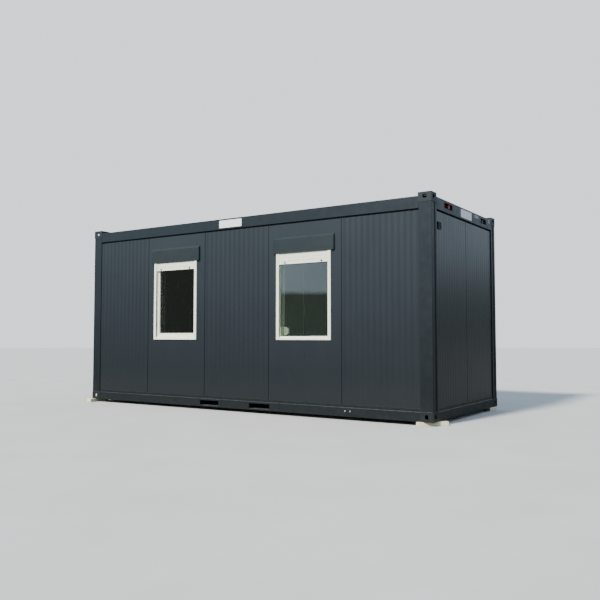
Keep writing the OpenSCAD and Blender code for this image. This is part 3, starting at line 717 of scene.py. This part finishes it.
# %% Glass, beads and gaskets
def bead_and_gasket(side, member_face):
    """A sloped bead and a gasket round one pane, from the member's face back to the glass."""
    low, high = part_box(f"glass_{side}")
    bead = hoop(f"glazing_bead_{side}", (low.x - 0.0003, member_face + 0.0008, low.z - 0.0003),
                (high.x + 0.0003, 0, high.z + 0.0003), 0.0113, low.y - member_face - 0.0012)
    soften(bead, lambda middle, direction: middle.y < member_face + 0.001
           and abs(direction.y) < 0.5
           and min(middle.x - low.x, high.x - middle.x, middle.z - low.z,
                   high.z - middle.z) > 0.009, 0.006, 3)
    round_edges(bead, 0.0009)
    hand_over(bead, "window_pvc", window_pvc)
    seal = hoop(f"glazing_gasket_{side}", (low.x + 0.0105, low.y - 0.0040, low.z + 0.0105),
                (high.x - 0.0105, 0, high.z - 0.0105), 0.0085, 0.0037)
    round_edges(seal, 0.0012, 3)
    hand_over(seal, "window_pvc", gasket_rubber)


for side in ("left", "right"):
    dress(f"glass_{side}", "pane", "window_glass", window_glass, 0.0008, 1)
bead_and_gasket("left", sash_low.y)
bead_and_gasket("right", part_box("window_frame_right")[0].y)
sash_seal = hoop("sash_seal", (sash_low.x + 0.001, sash_low.y - 0.003, sash_low.z + 0.001),
                 (sash_high.x - 0.001, 0, sash_high.z - 0.001), 0.008, 0.0035)
round_edges(sash_seal, 0.0012)
hand_over(sash_seal, "window_pvc", gasket_rubber)

# %% [markdown]
# ## Roller shutters
# A slat is a thin roll-formed shell that bulges outwards, hooked into its neighbour so that a
# fine dark line shows between them. One slat is a block whose front edges are rounded off with
# a wide bevel. It is copied upwards, and cut off at the shutter box with a bisect. The end bar
# at the bottom is a stiffer extrusion with two rubber stops that stop it at the box.

# %% Shutter curtains
SLAT_STEP = 0.039
BAR_HEIGHT = 0.046


def curtain(side):
    """The slats and the end bar of one shutter."""
    low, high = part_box(f"shutter_curtain_{side}")
    bar_top = low.z + BAR_HEIGHT
    slats = [block("slat", (low.x, low.y + 0.001, bar_top + 0.0015),
                   (high.x, high.y - 0.0005, bar_top + 0.0375))]
    soften(slats[0], lambda middle, direction: abs(direction.x) > 0.9
           and middle.y < (low.y + high.y) / 2, 0.0042, 5)
    count = math.ceil((high.z - bar_top - 0.0015) / SLAT_STEP)
    slats += [copied(slats[0], f"slat_{i}", (0, 0, SLAT_STEP * i)) for i in range(1, count)]
    spine = block("spine", (low.x, low.y + 0.0045, bar_top - 0.001),
                  (high.x, low.y + 0.0065, high.z + 0.01))
    sheet = joined(f"shutter_slats_{side}", slats + [spine])
    shape(sheet, "SELECT")
    bpy.ops.mesh.bisect(plane_co=(0, 0, high.z), plane_no=(0, 0, 1), clear_outer=True,
                        use_fill=True)
    rest()
    hand_over(sheet, "shutter_white", shutter_coating, f"shutter_curtain_{side}")
    bar = block(f"shutter_end_bar_{side}", (low.x, low.y - 0.0008, low.z),
                (high.x, high.y - 0.0004, bar_top))
    press(bar, facing(y=-1), (0.009, (0, 0.0022, 0)))
    round_edges(bar, 0.0014)
    hand_over(bar, "shutter_white", shutter_coating)
    return low, high


def shutter_stop(x, z, y):
    """A rubber stop screwed to the end bar: a short cone-nosed plug."""
    stop = rod("stop", (x, y - 0.006, z), 0.0105, 0.012, "y", 24)
    press(stop, facing(y=-1), (0.002, (0, -0.004, 0)), (0.0045, (0, 0.004, 0)))
    round_edges(stop, 0.0008)
    return stop


for side in ("left", "right"):
    low, high = curtain(side)
    stops = [shutter_stop(x, low.z + 0.020, low.y + 0.0012)
             for x in (low.x + 0.115, high.x - 0.115)]
    hand_over(joined(f"shutter_stops_{side}", stops), "shutter_white", gasket_rubber)

# %% [markdown]
# The cover of the shutter box is folded aluminium, dark like the wall. Its lower edge is turned
# into a drip lip, its ends are closed by pressed caps, and rivets hold the caps. The lip is a
# thin block whose front lower edge is rounded over.

# %% Shutter boxes with end caps, lips and rivets
def rivet(place, axis="y", toward=-1, radius=0.004):
    """A dome-headed rivet: a low round head, drawn in towards its top."""
    head = rod("rivet", place, radius, 0.003, axis, 16)
    side = Vector((toward, 0, 0)) if axis == "x" else Vector((0, toward, 0))
    press(head, facing(side.x, side.y),
          (radius * 0.3, side * 0.0006), (radius * 0.35, side * 0.0003))
    return head


for side in ("left", "right"):
    dress(f"shutter_box_{side}", "folded", "shutter_box_dark", hood_enamel, 0.0025, 3)
    low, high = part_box(f"shutter_box_{side}")
    lip = block("drip_lip", (low.x + 0.006, low.y - 0.0022, low.z - 0.003),
                (high.x - 0.006, low.y + 0.0015, low.z + 0.012))
    soften(lip, lambda middle, direction: abs(direction.x) > 0.9 and middle.y < low.y,
           0.0018, 3)
    caps, rivets = [], []
    for end, x in ((-1, low.x), (1, high.x)):
        cap = block("cap", (min(x, x + end * 0.0025), low.y + 0.004, low.z + 0.004),
                    (max(x, x + end * 0.0025), front - 0.001, high.z - 0.034))
        press(cap, facing(end), (0.004, (-end * 0.0012, 0, 0)))
        round_edges(cap, 0.0008)
        caps.append(cap)
        for z in (low.z + 0.030, high.z - 0.060):
            rivets.append(rivet((x - end * 0.016, low.y - 0.0006, z)))
    trim = joined(f"shutter_box_trim_{side}", [lip] + caps)
    hand_over(trim, "shutter_box_dark", hood_enamel)
    hand_over(joined(f"shutter_box_rivets_{side}", rivets), "shutter_box_dark", hood_enamel)

# %% [markdown]
# The guide rails are screwed through to the wall at three heights, and a brush strip lies in the
# slot of each rail to quiet the slats. A screw is the same dome as a rivet, with a recess in it.

# %% Guide screws and brush strips
def screw(place, axis="y", toward=-1, radius=0.0045):
    """A pan-head screw: a dome with a recess sunk in its middle."""
    head = rivet(place, axis, toward, radius)
    side = Vector((toward, 0, 0)) if axis == "x" else Vector((0, toward, 0))
    top = max(v.co.dot(side) for v in head.data.vertices)
    press(head, lambda middle, normal: normal.dot(side) > 0.9
          and middle.dot(side) > top - 0.0001, (radius * 0.08, side * -0.0012))
    return head


for side in ("left", "right"):
    low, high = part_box(f"shutter_guides_{side}")
    screws, brushes = [], []
    for x in (low.x + 0.015, high.x - 0.015):
        for z in (low.z + 0.09, (low.z + high.z) / 2, high.z - 0.22):
            screws.append(screw((x, low.y - 0.0004, z), radius=0.0038))
    hand_over(joined(f"guide_screws_{side}", screws), "shutter_white", zinc_plate)
    for x in (low.x + 0.0447, high.x - 0.0447):
        brush = block("brush", (x - 0.0012, low.y + 0.0045, low.z + 0.045),
                      (x + 0.0012, low.y + 0.0185, high.z - 0.16))
        soften(brush, lambda middle, direction: abs(direction.z) > 0.9, 0.0006, 2)
        brushes.append(brush)
    hand_over(joined(f"guide_brushes_{side}", brushes), "shutter_white", gasket_rubber)

# %% [markdown]
# The belt winder sits on the inner side of the frame: a moulded D-shaped housing on a plate, with
# the belt running up from it. A wide bevel round the housing's room side gives it the soft edge
# of a moulded shell, and a round cover over the spring finishes it.

# %% Belt winders
for side in ("left", "right"):
    low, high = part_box(f"belt_winder_{side}")
    winder = worked_copy(f"belt_winder_{side}_moulded", f"belt_winder_{side}", 0)
    soften(winder, lambda middle, direction: middle.y > high.y - 0.001, 0.009, 5)
    round_edges(winder, 0.0006, 1)
    hand_over(winder, "winder_plastic", winder_abs, f"belt_winder_{side}")
    hub_x = high.x - 0.058
    cover = rod("cover", (hub_x, high.y + 0.0008, low.z + 0.058), 0.036, 0.0030, "y", 48)
    press(cover, facing(y=1), (0.004, (0, -0.0010, 0)))
    round_edges(cover, 0.0005)
    hand_over(cover, "winder_plastic", winder_abs)
    print(side, "winder housing at", round(hub_x, 3))

# %% [markdown]
# ## Fittings on the end wall
# The vent is a moulded cap with three tilted louvres, screwed over the air outlet. The louvres
# are small blocks turned about their own length, one for each slot of the cap.

# %% Vent
vent_low, vent_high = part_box("vent_cap")
dress("vent_cap", "moulded", "vent_plastic", vent_plastic, 0.0015)
louvres = []
for i in (-1, 0, 1):
    z = (vent_low.z + vent_high.z) / 2 + 0.024 * i
    blade = block("blade", (vent_high.x - 0.0050, vent_low.y + 0.0105, z - 0.0012),
                  (vent_high.x + 0.0030, vent_high.y - 0.0105, z + 0.0012))
    shape(blade, "SELECT")
    bpy.ops.transform.rotate(value=math.radians(38), orient_axis="Y",
                             center_override=(vent_high.x - 0.001, 0, z))
    rest()
    round_edges(blade, 0.0008)
    louvres.append(blade)
hand_over(joined("vent_louvres", louvres), "vent_plastic", vent_plastic)

# %% [markdown]
# Power comes in through a red connector that sits in a niche of the roof beam, out of harm's
# way, with its lid closed. A sheet tray lines the niche. The second niche holds a dark outlet.
# The tray is a block whose open side is inset and pushed in, so that it has a real wall.

# %% Power inlet and outlet
def niche_tray(name, low, high):
    """An open tray that lines a niche, with walls 3 mm thick."""
    tray = block(name, low, high)
    shape(tray)
    pick(tray, "FACE", facing(1))
    bpy.ops.mesh.inset(thickness=0.003)
    bpy.ops.mesh.extrude_region_move(TRANSFORM_OT_translate={"value": (low[0] + 0.003 - high[0],
                                                                       0, 0)})
    rest()
    round_edges(tray, 0.0008)
    return tray


def connector(name, middle, reach):
    """A connector along X: a flange, a round body, a ribbed collar and a hinged, domed lid."""
    x, y, z = middle
    flange = block("flange", (x, y - 0.032, z - 0.030), (x + 0.010, y + 0.032, z + 0.030))
    round_edges(flange, 0.0025, 3)
    body = rod("body", (x + reach / 2, y, z), 0.023, reach, "x", 40)
    shape(body)
    pick(body, "FACE", facing(1))
    bpy.ops.mesh.inset(thickness=0.003)
    bpy.ops.mesh.extrude_region_move(TRANSFORM_OT_translate={"value": (-0.004, 0, 0)})
    rest()
    round_edges(body, 0.0012)
    collar = rod("collar", (x + reach - 0.010, y, z), 0.0265, 0.012, "x", 40)
    shape(collar)
    pick(collar, "FACE", lambda centre, normal: abs(normal.x) < 0.1
         and int((math.atan2(centre.z - z, centre.y - y) + math.pi) / (math.pi / 20)) % 4 == 0)
    bpy.ops.mesh.inset(thickness=0.0006)
    bpy.ops.mesh.extrude_region_shrink_fatten(TRANSFORM_OT_shrink_fatten={"value": 0.0012})
    rest()
    round_edges(collar, 0.0008)
    lid = rod("lid", (x + reach + 0.002, y, z), 0.0275, 0.006, "x", 40)
    press(lid, facing(1), (0.006, (0.0022, 0, 0)))
    round_edges(lid, 0.0012, 3)
    hinge = rod("hinge", (x + reach, y, z + 0.0285), 0.0042, 0.034, "y", 20)
    shape(hinge)
    pick(hinge, "FACE", lambda centre, normal: abs(normal.y) > 0.9)
    bpy.ops.mesh.inset(thickness=0.0012)
    bpy.ops.transform.resize(value=(1, 1.04, 1))
    rest()
    return joined(name, [flange, body, collar, lid, hinge])


inlet_low, inlet_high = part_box("power_inlet")
outlet_low, outlet_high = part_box("power_outlet")
hand_over(niche_tray("inlet_tray", inlet_low, inlet_high), "frame_steel", frame_enamel)
hand_over(niche_tray("outlet_tray", outlet_low, outlet_high), "frame_steel", frame_enamel)
middle_z = (inlet_low.z + inlet_high.z) / 2
seat_x = inlet_low.x + 0.003
inlet_y = (inlet_low.y + inlet_high.y) / 2 + 0.040
outlet_y = (outlet_low.y + outlet_high.y) / 2
hand_over(connector("power_inlet_connector", (seat_x, inlet_y, middle_z), 0.046),
          "inlet_plastic", inlet_plastic, "power_inlet")
hand_over(connector("power_outlet_connector", (seat_x, outlet_y, middle_z), 0.040),
          "outlet_plastic", outlet_plastic, "power_outlet")
fixings = []
for y, z in ((-0.026, -0.024), (-0.026, 0.024), (0.026, -0.024), (0.026, 0.024)):
    for centre in (inlet_y, outlet_y):
        place = (seat_x + 0.0112, centre + y, middle_z + z)
        fixings.append(screw(place, "x", 1, 0.0026))
for y in (vent_low.y + 0.006, vent_high.y - 0.006):
    for z in (vent_low.z + 0.007, vent_high.z - 0.007):
        fixings.append(screw((vent_high.x + 0.0008, y, z), "x", 1, 0.0026))
hand_over(joined("end_wall_screws", fixings), "vent_plastic", zinc_plate)

# %% [markdown]
# The two name plates are blank here: thin white anodised sheets with rounded corners, held by a
# rivet at each corner. Two small foil tags sit farther along the end beam.

# %% Blank plates
RIVET_INSET = 0.012
TAGS = (("inspection_tag", 0.925, 0.985, 2.742, 2.798),
        ("load_tag", 0.325, 0.495, 2.742, 2.785))
for name, axis, toward in (("front", "y", -1), ("end", "x", 1)):
    low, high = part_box(f"plate_{name}")
    plate = worked_copy(f"plate_{name}_sheet", f"plate_{name}", 0)
    through = 1 if axis == "y" else 0
    soften(plate, lambda middle, direction: abs(direction[through]) > 0.9, 0.008, 4)
    round_edges(plate, 0.0004, 1, 60)
    hand_over(plate, "plate_sheet", plate_coating, f"plate_{name}")
    heads = []
    for side in (low, high):
        inward = RIVET_INSET if side == low else -RIVET_INSET
        for z in (low.z + RIVET_INSET, high.z - RIVET_INSET):
            place = ((side.x + inward, low.y - 0.0006, z) if axis == "y"
                     else (high.x + 0.0006, side.y + inward, z))
            heads.append(rivet(place, axis, toward, 0.0035))
    hand_over(joined(f"plate_{name}_rivets", heads), "plate_sheet", zinc_plate)
for name, low_y, high_y, low_z, high_z in TAGS:
    tag = block(name, (half_l - 0.0035, low_y, low_z), (half_l - 0.0018, high_y, high_z))
    soften(tag, lambda middle, direction: abs(direction.x) > 0.9, 0.006, 3)
    hand_over(tag, "plate_sheet", tag_foil)

# %% [markdown]
# Two short earthing studs stand on a pad of the front base rail, near its right end. Each has a
# hexagon nut: a six-sided rod whose outer face is chamfered and then sunk round the thread.

# %% Earthing studs
STUD_X = (1.815, 1.889)
STUD_Z = 0.118
studs = []
for x in STUD_X:
    nut = rod("nut", (x, -half_w - 0.0015, STUD_Z), 0.013, 0.009, "y", 6)
    shape(nut)
    pick(nut, "FACE", facing(y=-1))
    bpy.ops.mesh.inset(thickness=0.0022)
    bpy.ops.transform.translate(value=(0, -0.0012, 0))
    bpy.ops.mesh.inset(thickness=0.003)
    bpy.ops.mesh.extrude_region_move(TRANSFORM_OT_translate={"value": (0, 0.002, 0)})
    rest()
    round_edges(nut, 0.0006)
    thread = rod("thread", (x, -half_w - 0.003, STUD_Z), 0.006, 0.014, "y", 20)
    round_edges(thread, 0.0012)
    studs += [nut, thread]
pad = block("pad", (STUD_X[0] - 0.025, -half_w + 0.0005, STUD_Z - 0.030),
            (STUD_X[1] + 0.025, -half_w + 0.0045, STUD_Z + 0.032))
round_edges(pad, 0.0015)
hand_over(joined("earthing_studs", studs), "frame_steel", zinc_plate)
hand_over(pad, "frame_steel", frame_enamel)

# %% [markdown]
# ## Door
# The door leaf is a steel tray with two pressed fields, and the frame is folded steel round it.
# A bisect parts each face in two, and a field is pressed by insetting a part, pushing its middle
# in, and rounding the step. The lever's lock cylinders sit just below it.

# %% Door leaf, frame and lever
MID_RAIL = 0.86
leaf_low, leaf_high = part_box("door_leaf")
leaf = worked_copy("door_leaf_pressed", "door_leaf", 0)
shape(leaf, "SELECT")
bpy.ops.mesh.bisect(plane_co=(0, 0, leaf_low.z + MID_RAIL), plane_no=(0, 0, 1))
for normal_x in (-1, 1):
    pick(leaf, "FACE", facing(normal_x))
    bpy.ops.mesh.inset(thickness=0.11, use_individual=True)
    bpy.ops.mesh.inset(thickness=0.012, use_individual=True)
    bpy.ops.transform.translate(value=(-normal_x * 0.006, 0, 0))
rest()
round_edges(leaf, 0.002, 2, 15)
hand_over(leaf, "door_white", door_coating, "door_leaf")
dress("door_frame", "folded", "door_white", door_coating, 0.003, 3)
hand_over(worked_copy("door_levers", "door_handles", 0.0035, 3), "handle_metal", stainless,
          "door_handles")
handle_low, handle_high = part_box("door_handles")
lock_y = handle_low.y + 0.016 if abs(handle_low.y - leaf_low.y) < 0.2 else handle_high.y - 0.016
locks = []
for x, toward in ((leaf_low.x - 0.004, -1), (leaf_high.x + 0.004, 1)):
    lock = rod("lock", (x, lock_y, handle_low.z - 0.055), 0.015, 0.012, "x", 32)
    press(lock, facing(toward),
          (0.004, (toward * 0.0015, 0, 0)), (0.005, (-toward * 0.003, 0, 0)))
    round_edges(lock, 0.0008)
    locks.append(lock)
hand_over(joined("door_lock", locks), "handle_metal", stainless)

# %% [markdown]
# ## Timber packers
# Each packer is a sawn board. The four are parted with Separate, so that each can have its own
# grain direction, and their arrises are chamfered as a plane would do it.

# %% Packers
BOARD_LENGTH = 0.39
timber = worked_copy("timber", "timber_packers", 0)
shape(timber, "SELECT")
bpy.ops.mesh.separate(type="LOOSE")
rest()
boards = [o for o in bpy.context.scene.objects if o.name.startswith("timber") and
          "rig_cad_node" not in o]
for board in boards:
    corners = [v.co for v in board.data.vertices]
    middle = sum(corners, Vector()) / len(corners)
    longest = max((a - b for a in corners for b in corners if abs(a.z - b.z) < 0.001
                   and abs((a - b).length - BOARD_LENGTH) < 0.002), key=lambda d: d.length)
    turn = math.atan2(longest.y, longest.x)
    name = ("front" if middle.y < 0 else "back") + ("_left" if middle.x < 0 else "_right")
    board.name = board.data.name = f"packer_{name}"
    shape(board, "SELECT")
    bpy.ops.mesh.subdivide(number_cuts=2)
    rest()
    round_edges(board, 0.003, 2)
    hand_over(board, "packer_timber", sawn_spruce(f"sawn_spruce_{name}", middle, turn),
              "timber_packers")

# %% [markdown]
# ## Studio
# A plain pale floor, a soft dome of light, a wide sun in front and a little to the left as the
# key, and a camera at chest height off the right-hand corner. Glossy paint and glass show what
# they mirror, so the dome has dark cards just over the floor and is bright above them. The camera
# itself sees a plain pale backdrop and floor, and the floor throws back less light than it shows,
# so the foot of the walls stays dark.

# %% Floor
floor_finish, add, shader, place = new_finish("pale_studio_floor")
patches = add("MapRange", (grain(add, place, 900, 4), 0.35, 0.65, 0, 1))
pale = add("Mix", {0: patches, 6: "#cfcecb", 7: "#c9c8c4"}, **COLOURS)
shown = add("LightPath", out="Is Camera Ray")
feed(shader, {"Base Color": add("Mix", {0: shown, 6: "#66635e", 7: pale}, **COLOURS),
              "Roughness": 0.85})
rest()
bpy.ops.mesh.primitive_circle_add(vertices=96, radius=60, fill_type="NGON", location=(0, 0, 0))
floor = bpy.context.object
floor.name = "studio_floor"
floor.data.materials.append(floor_finish)
print("floor made")

# %% Light
world = bpy.data.worlds.new("soft_studio")
bpy.context.scene.world = world
world.use_nodes = True
add = functools.partial(add_node, world.node_tree)
toward = add("SeparateXYZ", (add("TexCoord", out="Generated"),)).node.outputs
left_card = add("MapRange", (toward["X"], -0.665, -0.635, 0.112, 0.063))
far_card = add("MapRange", (toward["Y"], -0.1, 0.1, 0.063, 0.092))
card_top = add("Math", (left_card, far_card), operation="MAXIMUM")
over = add("Math", (toward["Z"], card_top), operation="SUBTRACT")
above = add("MapRange", (over, -0.003, 0.003, 0, 1))
climb = add("MapRange", (toward["Z"], 0.10, 0.7, 0, 1))
bright = add("Mix", {0: climb, 6: "#c3d3e2", 7: "#a9bdd4"}, **COLOURS)
dome = add("Mix", {0: above, 6: "#5a625c", 7: bright}, **COLOURS)
seen = add("LightPath", out="Is Camera Ray")
feed(world.node_tree.nodes["Background"], {
    "Color": add("Mix", {0: seen, 6: dome, 7: "#eef1f4"}, **COLOURS),
    "Strength": add("MapRange", (seen, 0, 1, 1.35, 1.55))})
rest()
bpy.ops.object.light_add(type="SUN", location=(-6, -8, 8),
                         rotation=Vector((1.0, 6.0, -4.6)).to_track_quat("-Z", "Y").to_euler())
sun = bpy.context.object
sun.data.energy = 6.6
sun.data.angle = math.radians(7)
sun.data.color = (1.0, 0.98, 0.90)
print("sun energy", sun.data.energy)

# %% Camera
bpy.ops.object.camera_add(location=(6.275, -9.069, 1.081),
                          rotation=(math.radians(93.01), 0, math.radians(33.28)))
camera = bpy.context.object
camera.data.sensor_width = 36
camera.data.lens = 41.67
camera.data.clip_end = 200
bpy.context.scene.camera = camera
print("camera at", [round(v, 3) for v in camera.location])
